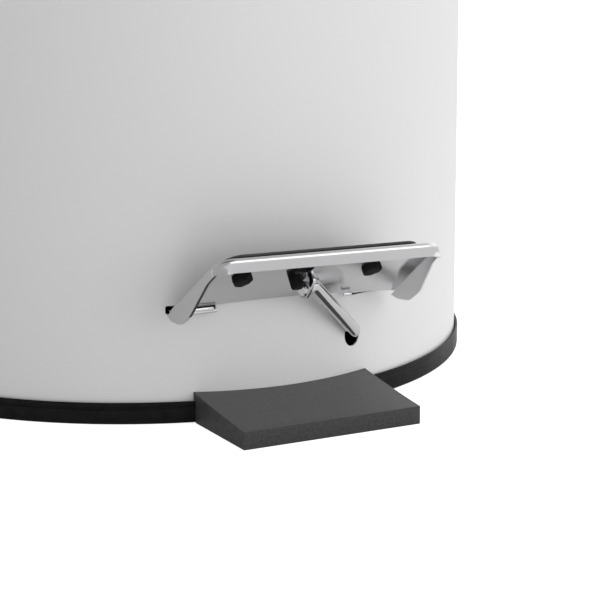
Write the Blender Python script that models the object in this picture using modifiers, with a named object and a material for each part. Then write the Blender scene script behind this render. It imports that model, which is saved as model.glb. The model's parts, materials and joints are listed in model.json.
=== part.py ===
"""Pedal trash can of the 20 litre class, in metres with +Z up.

The pedal faces -Y. The origin is on the floor, on the axis of the round body.
"""

import math

import bmesh
import bpy
from mathutils import Matrix, Vector

# Driving dimensions
BODY_RADIUS = 0.146
SHEET = 0.0008
BODY_BOTTOM = 0.0053
BODY_TOP = 0.4053
OVERALL_HEIGHT = 0.452
CLEARANCE = 0.00035
ROUND_STEPS = 48

# Base moulding and foot
RING_RADIUS = 0.1476
RING_HEIGHT = 0.0093
FLOOR_THICKNESS = 0.003
FOOT_WIDTH = 0.081
FOOT_REACH = 0.1866
FOOT_FRONT_HEIGHT = 0.0075
FOOT_BACK_HEIGHT = 0.0129
FOOT_TONGUE_HALF = 0.030
FOOT_TONGUE_TOP = 0.0026
FOOT_TONGUE_END = -0.1245
FOOT_SCREW_X = 0.018
FOOT_SCREW_Y = -0.130

# Pedal: a plate hung in two slots of the body, tilted up towards its outer edge
PEDAL_PIVOT = Vector((0, -0.140, 0.0480))
PEDAL_TILT = math.radians(36.5)
PLATE = 0.0012
PLATE_TOP = -0.0018
PLATE_INNER = 0.0069
PLATE_OUTER = 0.0479
PLATE_HALF_INNER = 0.0512
PLATE_HALF_OUTER = 0.0488
SLOT_INNER = 0.031
SLOT_OUTER = 0.051
SLOT_BOTTOM = 0.046
SLOT_TOP = 0.0495
PLUG_PLACES = ((-0.0330, 0.0292), (-0.0030, 0.0320), (0.0272, 0.0292))
PLUG_RADIUS = 0.0044

# Lever wire: hook, slanting run, cross run that is the fulcrum, and rear leg
WIRE = 0.0025
HOOK = Vector((0.006, -0.161, 0.0555))
ROD_BEND = Vector((0.0333, -0.1442, 0.0305))
ROD_HOLE = Vector((0.0331, -0.142, 0.0289))
ROD_HOLE_HALF = 0.0040
ROD_HOLE_STRETCH = 1.26
FULCRUM_Y = -0.105
SADDLE_PLACES = (0.0105, 0.0225)

# Lift rod and lid hinge
ROD_Y = 0.141
ROD_PAD = 0.0030
PUSH_GAP = 0.0005
CRANK = 0.0185
CRANK_ANGLE = math.radians(40)
CRANK_TIP = 0.0025
CRANK_THICKNESS = 0.0034
HINGE = Vector((0, 0.158, 0.404))
HINGE_BORE = 0.0024
BRACKET_THICKNESS = 0.0016
BRACKET_OUT = BODY_RADIUS + CLEARANCE + BRACKET_THICKNESS
STRAP_FRONT = 0.1500
STRAP_BACK = 0.1518
GUIDE_HEIGHTS = {"push_rod_guide_lower": 0.100, "push_rod_guide_upper": 0.350}

# Bucket, collar and lid
BUCKET_BOTTOM = 0.058
BUCKET_TOP = 0.4028
BUCKET_WALL = 0.002
COLLAR_TOP = 0.409
LID_BOTTOM = 0.4113
LID_RADIUS = 0.1495
LINER_WALL = 0.0018
HANDLE_RADIUS = 0.1355
HANDLE_WIRE = 0.002
HANDLE_AXIS = BUCKET_TOP + 0.0003 + HANDLE_WIRE
GRIP_RADIUS = 0.0042


# Helpers

def clear_scene():
    for obj in list(bpy.data.objects):
        bpy.data.objects.remove(obj, do_unlink=True)


def new_collection(name):
    collection = bpy.data.collections.new(name)
    bpy.context.scene.collection.children.link(collection)
    return collection


def new_material(name, colour, roughness, metallic=0.0):
    material = bpy.data.materials.new(name)
    material.use_nodes = True
    shader = material.node_tree.nodes["Principled BSDF"]
    shader.inputs["Base Color"].default_value = (*colour, 1)
    shader.inputs["Roughness"].default_value = roughness
    shader.inputs["Metallic"].default_value = metallic
    return material


clear_scene()
PARTS = new_collection("pedal_trash_can")
CUTTERS = new_collection("cutters")
WHITE_PAINT = new_material("white_paint", (0.80, 0.80, 0.79), 0.35)
BLACK_PLASTIC = new_material("black_plastic", (0.02, 0.02, 0.02), 0.45)
FOOT_PLASTIC = new_material("foot_plastic", (0.06, 0.06, 0.06), 0.60)
CHROME = new_material("chrome", (0.75, 0.75, 0.75), 0.08, 1.0)
RUBBER = new_material("rubber", (0.015, 0.015, 0.015), 0.75)
ZINC_STEEL = new_material("zinc_steel", (0.55, 0.56, 0.58), 0.32, 1.0)
BUCKET_PLASTIC = new_material("bucket_plastic", (0.10, 0.10, 0.11), 0.5)


def place(name, mesh, material, parent=None, matrix=None):
    """A named object of the model, or of the cutters when it has no material."""
    obj = bpy.data.objects.new(name, mesh)
    if material:
        mesh.materials.append(material)
        PARTS.objects.link(obj)
    else:
        CUTTERS.objects.link(obj)
        obj.hide_render = True
        obj.display_type = "WIRE"
    obj.parent = parent
    if matrix is not None:
        obj.matrix_local = matrix
    return obj


def mesh_from(name, build):
    mesh = bpy.data.meshes.new(name)
    shape = bmesh.new()
    build(shape)
    shape.to_mesh(mesh)
    shape.free()
    return mesh


def box(name, low, high, material=None, parent=None, matrix=None):
    """A box between two corners."""
    low = Vector(low)
    high = Vector(high)
    scale = Matrix.Diagonal((*(high - low), 1))
    where = Matrix.Translation((low + high) / 2) @ scale
    mesh = mesh_from(name, lambda shape: bmesh.ops.create_cube(shape, size=1, matrix=where))
    return place(name, mesh, material, parent, matrix)


def cylinder(name, start, end, radius, material=None, parent=None, flatten=(1, 1), steps=24):
    """A cylinder from start to end; flatten scales its section across, then along Z."""
    start = Vector(start)
    end = Vector(end)
    axis = end - start
    turn = axis.to_track_quat("Z", "Y").to_matrix().to_4x4()
    where = Matrix.Translation((start + end) / 2) @ turn @ Matrix.Diagonal((*flatten, 1, 1))
    mesh = mesh_from(
        name,
        lambda shape: bmesh.ops.create_cone(
            shape, cap_ends=True, segments=steps, radius1=radius, radius2=radius,
            depth=axis.length, matrix=where,
        ),
    )
    return place(name, mesh, material, parent)


def turned(name, profile, material=None, closed=False, steps=ROUND_STEPS, matrix=None):
    """A profile of (radius, height) points turned about Z, its outer side given top to bottom."""
    mesh = bpy.data.meshes.new(name)
    count = len(profile)
    edges = [(i, (i + 1) % count) for i in range(count if closed else count - 1)]
    mesh.from_pydata([(radius, 0, height) for radius, height in profile], edges, [])
    obj = place(name, mesh, material, matrix=matrix)
    screw = obj.modifiers.new("turn", "SCREW")
    screw.axis = "Z"
    screw.steps = steps
    screw.render_steps = steps
    screw.use_merge_vertices = True
    screw.merge_threshold = 0.00001
    return obj


def rounded(corners, radius, closed=False, steps=4):
    """The corners as a path whose bends are arcs of one radius."""
    points = [Vector(corner) for corner in corners]
    count = len(points)
    path = []
    for i, corner in enumerate(points):
        if not closed and i in (0, count - 1):
            path.append(corner)
            continue
        back = (points[i - 1] - corner).normalized()
        ahead = (points[(i + 1) % count] - corner).normalized()
        half = back.angle(ahead) / 2
        centre = corner + (back + ahead).normalized() * radius / math.sin(half)
        first = (corner + back * radius / math.tan(half) - centre).normalized()
        last = (corner + ahead * radius / math.tan(half) - centre).normalized()
        for step in range(steps + 1):
            path.append(centre + first.slerp(last, step / steps) * radius)
    return path


def curve_mesh(name, curve, matrix=None):
    """The mesh of a curve, with its caps welded."""
    guide = bpy.data.objects.new(name + "_guide", curve)
    CUTTERS.objects.link(guide)
    if matrix is not None:
        guide.matrix_world = matrix
    bpy.context.view_layer.update()
    graph = bpy.context.evaluated_depsgraph_get()
    mesh = bpy.data.meshes.new_from_object(guide.evaluated_get(graph), depsgraph=graph)
    mesh.transform(guide.matrix_world)
    bpy.data.objects.remove(guide)
    bpy.data.curves.remove(curve)
    mesh.materials.clear()
    shape = bmesh.new()
    shape.from_mesh(mesh)
    bmesh.ops.remove_doubles(shape, verts=shape.verts, dist=0.000005)
    bmesh.ops.recalc_face_normals(shape, faces=shape.faces)
    shape.to_mesh(mesh)
    shape.free()
    return mesh


def spline_of(curve, path, cyclic):
    spline = curve.splines.new("POLY")
    spline.points.add(len(path) - 1)
    for point, position in zip(spline.points, path):
        point.co = (*position, 1)
    spline.use_cyclic_u = cyclic


def wire(name, path, radius, material=None):
    """A round wire or tube along a path."""
    curve = bpy.data.curves.new(name, "CURVE")
    curve.dimensions = "3D"
    curve.bevel_depth = radius
    curve.bevel_resolution = 2
    curve.use_fill_caps = True
    spline_of(curve, path, False)
    return place(name, curve_mesh(name, curve), material)


def flat(name, outline, thickness, matrix, material=None, parent=None):
    """A flat outline in X and Y, given thickness both ways from its plane."""
    curve = bpy.data.curves.new(name, "CURVE")
    curve.dimensions = "2D"
    curve.fill_mode = "BOTH"
    curve.extrude = thickness / 2
    spline_of(curve, [(x, y, 0) for x, y, *_ in outline], True)
    return place(name, curve_mesh(name, curve, matrix), material, parent)


def combine(target, operation, *others):
    for other in others:
        modifier = target.modifiers.new(other.name, "BOOLEAN")
        modifier.operation = operation
        modifier.object = other
    return target


def cut(target, *others):
    return combine(target, "DIFFERENCE", *others)


def join(target, *others):
    return combine(target, "UNION", *others)


def shade_round_pieces():
    """Gives each piece its evaluated mesh, smooth over its round stretches."""
    bpy.context.view_layer.update()
    graph = bpy.context.evaluated_depsgraph_get()
    meshes = {
        obj: bpy.data.meshes.new_from_object(obj.evaluated_get(graph), depsgraph=graph)
        for obj in PARTS.objects
        if obj.type == "MESH"
    }
    for obj, mesh in meshes.items():
        obj.modifiers.clear()
        obj.data = mesh
        mesh.shade_smooth()
        mesh.set_sharp_from_angle(angle=math.radians(30))


def mirrored_pair(make):
    """Calls make for the left and the right side."""
    return [make("left", -1), make("right", 1)]


# Fasteners

def rivet(name, start, direction, stack, radius=0.0015):
    """A rivet through a stack of sheets: start is on the inner face, direction points out."""
    head = radius * 1.9
    rise = 0.0012
    top = stack + CLEARANCE
    profile = [
        (0, top + rise), (head * 0.6, top + rise * 0.8), (head, top),
        (radius, top), (radius, -CLEARANCE),
        (head, -CLEARANCE), (head, -CLEARANCE - 0.0009), (0, -CLEARANCE - 0.0009),
    ]
    turn = Vector(direction).to_track_quat("Z", "Y").to_matrix().to_4x4()
    matrix = Matrix.Translation(Vector(start)) @ turn
    return turned(name, profile, ZINC_STEEL, steps=12, matrix=matrix)


def rivet_hole(name, start, direction, stack, radius=0.0015):
    spare = Vector(direction).normalized() * 0.004
    start = Vector(start)
    end = start + Vector(direction).normalized() * stack
    return cylinder(name, start - spare, end + spare, radius + CLEARANCE, steps=12)


def screw(name, head_bottom, length, down=True):
    """A pan-head screw along Z, its head above its shank, or below it when down is False."""
    shank = 0.0015
    head = 0.0031
    rise = 0.0014
    profile = [
        (0, rise), (head * 0.75, rise), (head, rise * 0.45), (head, 0),
        (shank, 0), (shank, -length), (0, -length),
    ]
    matrix = Matrix.Translation(head_bottom) @ Matrix.Rotation(0 if down else math.pi, 4, "X")
    return turned(name, profile, ZINC_STEEL, steps=12, matrix=matrix)


# Base

def base_ring():
    """A tray with a flat underside and a channel that holds the body's lower edge."""
    channel_in = BODY_RADIUS - SHEET - CLEARANCE
    channel_out = BODY_RADIUS + 0.0006
    ring = turned(
        "base_ring",
        [
            (0, FLOOR_THICKNESS), (0.1365, FLOOR_THICKNESS), (0.1370, 0.015),
            (0.1385, 0.016), (channel_in, 0.016), (channel_in, 0.005),
            (channel_out, 0.005), (channel_out, RING_HEIGHT - 0.0006),
            (channel_out + 0.0004, RING_HEIGHT), (RING_RADIUS - 0.0003, RING_HEIGHT - 0.0003),
            (RING_RADIUS, RING_HEIGHT - 0.0010), (RING_RADIUS, 0.0012),
            (RING_RADIUS - 0.0008, 0), (0, 0),
        ],
        BLACK_PLASTIC,
    )
    pad = box("foot_pad", (-0.036, -0.1368, 0.001), (0.036, FOOT_TONGUE_END + 0.002, 0.0062))
    pocket = box(
        "foot_pocket",
        (-FOOT_TONGUE_HALF - CLEARANCE, -0.160, -0.001),
        (FOOT_TONGUE_HALF + CLEARANCE, FOOT_TONGUE_END + CLEARANCE, FOOT_TONGUE_TOP + CLEARANCE),
    )
    join(ring, pad)
    cut(ring, pocket)
    for side in (-1, 1):
        x = side * FOOT_SCREW_X
        hole = cylinder(
            f"foot_screw_hole_{side}", (x, FOOT_SCREW_Y, 0.001), (x, FOOT_SCREW_Y, 0.0053), 0.0019
        )
        cut(ring, hole)
    for place_x in SADDLE_PLACES:
        for y in saddle_screw_places():
            hole = cylinder("saddle_hole", (place_x, y, 0.0009), (place_x, y, 0.006), 0.0019)
            cut(ring, hole)
    return ring


def anti_tip_foot():
    """A wedge on the floor under the pedal, with a tongue that screws under the base."""
    back = 0.138
    middle = (FOOT_FRONT_HEIGHT + FOOT_BACK_HEIGHT) / 2 - 0.0004
    outline = [
        (-back, 0), (-FOOT_REACH, 0), (-FOOT_REACH, FOOT_FRONT_HEIGHT - 0.0012),
        (-FOOT_REACH + 0.0012, FOOT_FRONT_HEIGHT), (-(back + FOOT_REACH) / 2, middle),
        (-back, FOOT_BACK_HEIGHT + 0.0004),
    ]
    upright = Matrix(((0, 0, 1, 0), (1, 0, 0, 0), (0, 1, 0, 0), (0, 0, 0, 1)))
    foot = flat("anti_tip_foot", outline, FOOT_WIDTH, upright, FOOT_PLASTIC)
    body_space = cylinder(
        "foot_body_space", (0, 0, -0.01), (0, 0, 0.05), BODY_RADIUS + 0.0004, steps=ROUND_STEPS * 2
    )
    ring_space = cylinder(
        "foot_ring_space", (0, 0, -0.01), (0, 0, RING_HEIGHT + 0.0004),
        RING_RADIUS + 0.0004, steps=ROUND_STEPS * 2,
    )
    tongue = box(
        "foot_tongue", (-FOOT_TONGUE_HALF, -0.152, CLEARANCE),
        (FOOT_TONGUE_HALF, FOOT_TONGUE_END, FOOT_TONGUE_TOP),
    )
    cut(foot, body_space, ring_space)
    join(foot, tongue)
    for side in (-1, 1):
        x = side * FOOT_SCREW_X
        shank = cylinder(
            f"tongue_hole_{side}", (x, FOOT_SCREW_Y, -0.01), (x, FOOT_SCREW_Y, 0.01), 0.0019
        )
        head = cylinder(
            f"tongue_recess_{side}", (x, FOOT_SCREW_Y, -0.01), (x, FOOT_SCREW_Y, 0.0019), 0.0035
        )
        cut(foot, shank, head)
    return foot


def foot_screws():
    def make(side_name, side):
        where = Vector((side * FOOT_SCREW_X, FOOT_SCREW_Y, 0.0016))
        return screw(f"foot_screw_{side_name}", where, 0.0034, down=False)

    mirrored_pair(make)


# Body

def body_shell():
    """The painted steel cylinder, with its pedal slots, rod hole and rear notch."""
    inner = BODY_RADIUS - SHEET
    shell = turned(
        "body_shell",
        [(inner, BODY_TOP), (BODY_RADIUS, BODY_TOP), (BODY_RADIUS, BODY_BOTTOM), (inner, BODY_BOTTOM)],
        WHITE_PAINT,
        closed=True,
    )
    for side in (-1, 1):
        x = sorted((side * SLOT_INNER, side * SLOT_OUTER))
        cut(shell, box(f"slot_{side}", (x[0], -0.16, SLOT_BOTTOM), (x[1], -0.12, SLOT_TOP)))
    reach = Vector((0, 0.02, 0))
    cut(
        shell,
        cylinder(
            "rod_hole", ROD_HOLE - reach, ROD_HOLE + reach, ROD_HOLE_HALF,
            flatten=(1, ROD_HOLE_STRETCH), steps=32,
        ),
        box("rear_notch", (-0.009, 0.13, 0.384), (0.009, 0.16, 0.42)),
    )
    for name, start, direction, stack in wall_rivets():
        cut(shell, rivet_hole(name + "_hole", start, direction, stack))
    return shell


def radial(x, radius):
    """The point at this x on the rear of a cylinder, and the direction straight out of it."""
    y = math.sqrt(radius**2 - x**2)
    return Vector((x, y, 0)), Vector((x, y, 0)).normalized()


def wall_rivets():
    """(name, start, direction, stack) of each rivet through the rear of the body."""
    rivets = []
    for guide, height in GUIDE_HEIGHTS.items():
        for side_name, side in (("left", -1), ("right", 1)):
            start, out = radial(side * 0.0095, 0.1365)
            stack = BODY_RADIUS - 0.1365
            name = guide.replace("push_rod_guide", "guide_rivet") + "_" + side_name
            rivets.append((name, start + Vector((0, 0, height)), out, stack))
    for side_name, side in (("left", -1), ("right", 1)):
        start, out = radial(side * 0.0125, BODY_RADIUS - SHEET)
        stack = BRACKET_OUT - (BODY_RADIUS - SHEET)
        rivets.append((f"hinge_rivet_{side_name}", start + Vector((0, 0, 0.374)), out, stack))
    return rivets


def rim_collar():
    """The plastic ring over the body's top edge, with the ledge that carries the bucket."""
    inside = BODY_RADIUS - SHEET - CLEARANCE
    outside = BODY_RADIUS + CLEARANCE
    top = COLLAR_TOP
    collar = turned(
        "rim_collar",
        [
            (0.1415, top), (0.1462, top), (0.1470, top - 0.0008), (0.1470, top - 0.006),
            (outside, top - 0.006), (outside, BODY_TOP + 0.0003), (inside, BODY_TOP + 0.0003),
            (inside, 0.398), (0.1335, 0.398), (0.1335, 0.4005), (0.1415, 0.4005),
        ],
        BLACK_PLASTIC,
        closed=True,
    )
    cut(collar, box("collar_notch", (-0.010, 0.12, 0.39), (0.010, 0.16, 0.42)))
    return collar


# Bucket

def inner_bucket():
    """The lift-out bucket, with a flange, a finger notch in front and two handle lugs."""
    lower = 0.118
    upper = 0.1318
    ring = 0.1398
    bucket = turned(
        "inner_bucket",
        [
            (0, BUCKET_BOTTOM + BUCKET_WALL), (lower - BUCKET_WALL, BUCKET_BOTTOM + BUCKET_WALL),
            (upper - BUCKET_WALL, BUCKET_TOP), (ring, BUCKET_TOP), (ring, BUCKET_TOP - 0.0018),
            (upper, BUCKET_TOP - 0.0018), (lower, BUCKET_BOTTOM + 0.001),
            (lower - 0.001, BUCKET_BOTTOM), (0, BUCKET_BOTTOM),
        ],
        BUCKET_PLASTIC,
    )
    cut(
        bucket,
        box("bucket_rod_notch", (-0.009, 0.1345, 0.39), (0.009, 0.16, 0.42)),
        box("finger_notch", (-0.036, -0.16, 0.4005), (0.036, -0.1265, 0.42)),
    )
    for side in (-1, 1):
        x = sorted((side * 0.1300, side * 0.1328))
        height = HANDLE_AXIS
        join(bucket, box(f"lug_{side}", (x[0], -0.005, 0.4015), (x[1], 0.005, 0.4095)))
        cut(
            bucket,
            cylinder(
                f"lug_hole_{side}", (side * 0.125, 0, height), (side * 0.14, 0, height), 0.0024
            ),
        )
    return bucket


def handle_arc(start, end, steps):
    """Points along the folded handle, between two angles from the front, in degrees."""
    return [
        Vector((
            HANDLE_RADIUS * math.sin(math.radians(start + (end - start) * i / steps)),
            -HANDLE_RADIUS * math.cos(math.radians(start + (end - start) * i / steps)),
            HANDLE_AXIS,
        ))
        for i in range(steps + 1)
    ]


def bucket_handle():
    """A wire bail folded down on the bucket's flange, its ends turned in through the lugs."""
    end_x = HANDLE_RADIUS - 0.0075
    corner = HANDLE_RADIUS - 0.0030
    turn_in = [
        Vector((corner + 0.0030 * math.cos(angle), -0.0030 + 0.0030 * math.sin(angle), HANDLE_AXIS))
        for angle in (math.radians(30), math.radians(60), math.radians(90))
    ]
    right_end = turn_in + [Vector((end_x, 0, HANDLE_AXIS))]
    left_end = [Vector((-p.x, p.y, p.z)) for p in reversed(right_end)]
    path = left_end + handle_arc(-88, 88, 28) + right_end
    return wire("bucket_handle", path, HANDLE_WIRE, ZINC_STEEL)


def handle_grip():
    """The plastic tube in the middle of the handle."""
    grip = wire("handle_grip", handle_arc(-12, 12, 6), GRIP_RADIUS, BLACK_PLASTIC)
    bore = wire("grip_bore", handle_arc(-16, 16, 8), HANDLE_WIRE + CLEARANCE)
    cut(grip, bore)
    return grip


# Lid

def lid_profile(inset):
    """The lid's dome, rounded corner and skirt, from the axis out, at a distance inside it."""
    corner = 0.008
    shoulder = OVERALL_HEIGHT - 0.016
    flat_radius = LID_RADIUS - corner
    dome = [
        (flat_radius * i / 5, OVERALL_HEIGHT - inset - (OVERALL_HEIGHT - shoulder) * (i / 5) ** 2)
        for i in range(6)
    ]
    reach = corner - inset
    bend = [
        (flat_radius + reach * math.sin(angle), shoulder - corner + reach * math.cos(angle))
        for angle in (math.radians(45), math.radians(90))
    ]
    return dome + bend + [(LID_RADIUS - inset, LID_BOTTOM)]


def lid_shell():
    outer = lid_profile(0)
    inner = lid_profile(SHEET)
    shell = turned("lid_shell", outer + inner[::-1], WHITE_PAINT)
    cut_lid_rivets(shell)
    return shell


def lid_liner():
    """The plastic ring inside the lid's skirt."""
    outer = LID_RADIUS - SHEET - CLEARANCE
    bottom = LID_BOTTOM + 0.0003
    liner = turned(
        "lid_liner",
        [
            (outer - LINER_WALL, bottom + 0.0135), (outer, bottom + 0.0135), (outer, bottom),
            (0.138, bottom), (0.138, bottom + 0.002), (outer - LINER_WALL, bottom + 0.002),
        ],
        BLACK_PLASTIC,
        closed=True,
    )
    cut_lid_rivets(liner)
    return liner


def lid_rivet_places():
    """(name, start, stack) of each rivet through liner, skirt and hinge strap."""
    inner = LID_RADIUS - SHEET - CLEARANCE - LINER_WALL - 0.0008
    return [
        (f"lid_rivet_{name}", Vector((side * 0.009, inner, 0.4205)), STRAP_BACK - inner)
        for name, side in (("left", -1), ("right", 1))
    ]


def cut_lid_rivets(target):
    for name, start, stack in lid_rivet_places():
        cut(target, rivet_hole(f"{name}_{target.name}_hole", start, (0, 1, 0), stack))


def lid_rivets():
    for name, start, stack in lid_rivet_places():
        rivet(name, start, (0, 1, 0), stack)


def lid_bumpers():
    """Three rubber pads under the liner, on which the closed lid rests."""
    height = LID_BOTTOM + 0.0003 - CLEARANCE
    for number, angle in enumerate((-90, 30, 150), start=1):
        x = 0.1438 * math.cos(math.radians(angle))
        y = 0.1438 * math.sin(math.radians(angle))
        cylinder(
            f"lid_bumper_{number}", (x, y, COLLAR_TOP + 0.0003), (x, y, height), 0.003, RUBBER
        )


# Hinge

def hinge_bracket():
    """The steel bracket on the rear of the body: a curved plate and two cheeks."""
    top = COLLAR_TOP - 0.006 - 0.0004
    bracket = turned(
        "hinge_bracket",
        [
            (BODY_RADIUS + CLEARANCE, top), (BRACKET_OUT, top),
            (BRACKET_OUT, 0.366), (BODY_RADIUS + CLEARANCE, 0.366),
        ],
        ZINC_STEEL,
        closed=True,
    )
    combine(bracket, "INTERSECT", box("bracket_width", (-0.018, 0.13, 0.35), (0.018, 0.16, 0.42)))
    cut(bracket, box("bracket_window", (-0.007, 0.13, 0.385), (0.007, 0.16, 0.42)))
    for side in (-1, 1):
        x = sorted((side * 0.0086, side * 0.0106))
        web = box(f"cheek_{side}", (x[0], 0.1472, 0.393), (x[1], HINGE.y, 0.4035))
        eye = cylinder(
            f"eye_{side}", (x[0], HINGE.y, HINGE.z), (x[1], HINGE.y, HINGE.z), 0.0066
        )
        join(bracket, web, eye)
    cut(bracket, hinge_bore("bracket_bore", 0.03))
    for name, start, direction, stack in wall_rivets():
        if name.startswith("hinge"):
            cut(bracket, rivet_hole(name + "_plate_hole", start, direction, stack))
    return bracket


def hinge_bore(name, half):
    return cylinder(name, (-half, HINGE.y, HINGE.z), (half, HINGE.y, HINGE.z), HINGE_BORE)


def hinge_pin():
    """The hinge pin, with a head at each end outside the cheeks."""
    half = 0.0110
    profile = [
        (0, half + 0.0015), (0.0026, half + 0.0015), (0.0032, half + 0.0008), (0.0032, half),
        (0.0020, half), (0.0020, -half), (0.0032, -half), (0.0032, -half - 0.0008),
        (0.0026, -half - 0.0015), (0, -half - 0.0015),
    ]
    matrix = Matrix.Translation(HINGE) @ Matrix.Rotation(math.pi / 2, 4, "Y")
    return turned("hinge_pin", profile, ZINC_STEEL, steps=20, matrix=matrix)


def crank_tip():
    reach = Vector((0, -math.cos(CRANK_ANGLE), -math.sin(CRANK_ANGLE)))
    return HINGE + reach * CRANK


def lid_hinge_arm():
    """The strap on the lid, its knuckle, and the finger that the lift rod pushes."""
    knuckle = cylinder(
        "lid_hinge_arm", (-0.008, HINGE.y, HINGE.z), (0.008, HINGE.y, HINGE.z), 0.0065,
        ZINC_STEEL,
    )
    strap = box("strap", (-0.014, STRAP_FRONT, 0.4130), (0.014, STRAP_BACK, 0.4272))
    neck = box("neck", (-0.0075, STRAP_FRONT, 0.4035), (0.0075, 0.1530, 0.4140))
    tip = crank_tip()
    end = cylinder("tip", (-0.0045, tip.y, tip.z), (0.0045, tip.y, tip.z), CRANK_TIP)
    turn = Matrix.Translation(HINGE) @ Matrix.Rotation(CRANK_ANGLE, 4, "X")
    half = CRANK_THICKNESS / 2
    finger = box("finger", (-0.0045, -CRANK, -half), (0.0045, -0.003, half), matrix=turn)
    join(knuckle, strap, neck, finger, end)
    cut(knuckle, hinge_bore("arm_bore", 0.03))
    for name, start, stack in lid_rivet_places():
        cut(knuckle, rivet_hole(name + "_strap_hole", start, (0, 1, 0), stack))
    return knuckle


# Lift rod

def push_rod():
    """The upright rod, with a pad at each end."""
    lowest = ROD_BEND.z + WIRE + PUSH_GAP
    highest = crank_tip().z - CRANK_TIP - PUSH_GAP
    pad = ROD_PAD
    profile = [
        (0, highest), (pad - 0.0004, highest), (pad, highest - 0.0004), (pad, highest - 0.004),
        (WIRE, highest - 0.0048), (WIRE, lowest + 0.0048), (pad, lowest + 0.004),
        (pad, lowest + 0.0004), (pad - 0.0004, lowest), (0, lowest),
    ]
    matrix = Matrix.Translation((0, ROD_Y, 0))
    return turned("push_rod", profile, ZINC_STEEL, steps=20, matrix=matrix)


def push_rod_guides():
    """Two plastic blocks on the rear wall that the lift rod slides in."""
    inside = BODY_RADIUS - SHEET - 2 * CLEARANCE
    for name, height in GUIDE_HEIGHTS.items():
        block = box(
            name, (-0.0135, 0.1365, height - 0.006), (0.0135, 0.150, height + 0.006),
            BLACK_PLASTIC,
        )
        wall = cylinder(
            name + "_wall", (0, 0, height - 0.02), (0, 0, height + 0.02), inside,
            steps=ROUND_STEPS * 2,
        )
        combine(block, "INTERSECT", wall)
        bore = cylinder(
            name + "_bore", (0, ROD_Y, height - 0.02), (0, ROD_Y, height + 0.02),
            WIRE + CLEARANCE + 0.0001,
        )
        cut(block, bore)
        for rivet_name, start, direction, stack in wall_rivets():
            if abs(start.z - height) < 0.001:
                cut(block, rivet_hole(rivet_name + "_block_hole", start, direction, stack))


def rear_rivets():
    for name, start, direction, stack in wall_rivets():
        rivet(name, start, direction, stack)


# Lever

def lever_path():
    """Hook, slanting run, cross run and rear leg of the lever wire."""
    hook_end = Vector((-0.0025, HOOK.y, HOOK.z))
    level = ROD_BEND.z
    front = rounded([hook_end, HOOK, ROD_BEND, Vector((ROD_BEND.x, -0.125, level))], 0.0042)
    rear = rounded(
        [
            Vector((ROD_BEND.x, -0.124, level)), Vector((ROD_BEND.x, FULCRUM_Y, level)),
            Vector((0, FULCRUM_Y, level)), Vector((0, 0.1436, level)),
        ],
        0.006,
    )
    return front + rear


def lever_rod():
    return wire("lever_rod", lever_path(), WIRE, CHROME)


def saddle_screw_places():
    return (FULCRUM_Y - 0.0115, FULCRUM_Y + 0.0115)


def fulcrum_saddles():
    """Two posts on the base, bored for the lever's cross run, each with two screws."""
    level = ROD_BEND.z
    bottom = FLOOR_THICKNESS + 0.0003
    for place_x, side in zip(SADDLE_PLACES, ("inner", "outer")):
        saddle = box(
            f"fulcrum_saddle_{side}", (place_x - 0.0045, FULCRUM_Y - 0.0155, bottom),
            (place_x + 0.0045, FULCRUM_Y + 0.0155, bottom + 0.002), BLACK_PLASTIC,
        )
        post = box(
            f"post_{side}", (place_x - 0.003, FULCRUM_Y - 0.0065, bottom + 0.001),
            (place_x + 0.003, FULCRUM_Y + 0.0065, level),
        )
        head = cylinder(
            f"post_head_{side}", (place_x - 0.003, FULCRUM_Y, level),
            (place_x + 0.003, FULCRUM_Y, level), 0.0065,
        )
        bore = cylinder(
            f"post_bore_{side}", (place_x - 0.02, FULCRUM_Y, level),
            (place_x + 0.02, FULCRUM_Y, level), WIRE + CLEARANCE,
        )
        join(saddle, post, head)
        cut(saddle, bore)
        for number, y in enumerate(saddle_screw_places(), start=1):
            hole = cylinder(
                f"saddle_hole_{side}_{number}", (place_x, y, 0), (place_x, y, 0.02), 0.0019
            )
            cut(saddle, hole)
            where = Vector((place_x, y, bottom + 0.002 + 0.0003))
            screw(f"saddle_screw_{side}_{number}", where, 0.0040)


# Pedal. In the pedal's own frame -Y runs up along the plate and +Z is square to it.

def pedal_frame():
    pivot = bpy.data.objects.new("pedal_pivot", None)
    PARTS.objects.link(pivot)
    pivot.matrix_world = Matrix.Translation(PEDAL_PIVOT) @ Matrix.Rotation(-PEDAL_TILT, 4, "X")
    bpy.context.view_layer.update()
    return pivot


def side_matrix(x, flare=0.0):
    """Stands an outline of (distance up the plate, height over it) on edge at this x."""
    upright = Matrix(((0, 0, 1, 0), (-1, 0, 0, 0), (0, 1, 0, 0), (0, 0, 0, 1)))
    return Matrix.Translation((x, 0, 0)) @ Matrix.Rotation(flare, 4, "Z") @ upright


def pedal_ear(pivot, side):
    """The flange bent down along one side of the plate, with a rounded lower tip."""
    corners = [
        (-0.0016, -0.0014), (0.0484, -0.0018), (0.0480, -0.0060), (0.0365, -0.0064),
        (0.0160, -0.0114), (0.0086, -0.0112), (0.0014, -0.0068),
    ]
    outline = rounded([(s, n, 0) for s, n in corners], 0.0012, closed=True, steps=3)
    flare = -side * math.atan((PLATE_HALF_INNER - PLATE_HALF_OUTER) / (PLATE_OUTER - PLATE_INNER))
    matrix = side_matrix(side * (PLATE_HALF_INNER + 0.0004), flare)
    return flat(f"ear_{side}", outline, PLATE, matrix, parent=pivot)


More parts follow.
